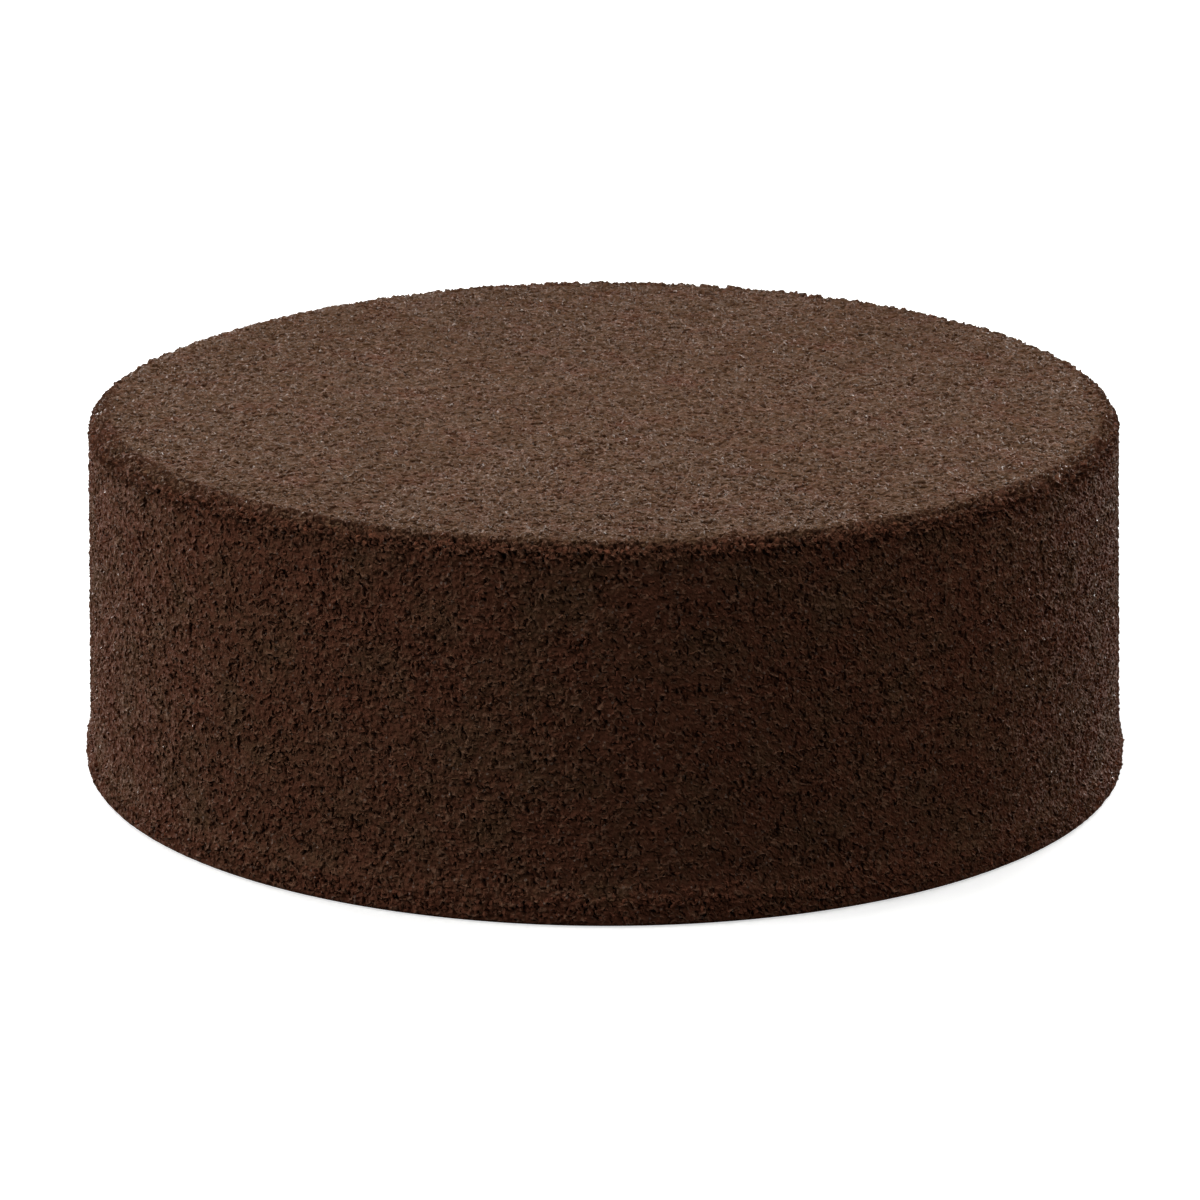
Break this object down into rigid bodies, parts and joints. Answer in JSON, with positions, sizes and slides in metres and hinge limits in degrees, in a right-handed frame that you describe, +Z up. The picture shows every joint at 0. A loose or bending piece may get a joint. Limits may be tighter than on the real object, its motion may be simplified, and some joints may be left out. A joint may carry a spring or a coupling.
{
  "type": "chocolate mud cake",
  "caption": "Uncut round chocolate mud cake with a level top and nearly straight side, masked all over in fine dark cake crumb.",
  "frame": {"origin": "middle of the flat underside, where the cake stands", "axes": "+Z up through the middle of the top, +X to the cake's right and -Y towards its front as pictured"},
  "size_m": [0.2407, 0.2399, 0.0851],
  "materials": {
    "cake_crumb": "matte, finely crumbed, dark cocoa brown with redder crumbs along the rim and foot"
  },
  "bodies": {
    "root": {"cake": "cake_crumb"}
  },
  "joints": []
}
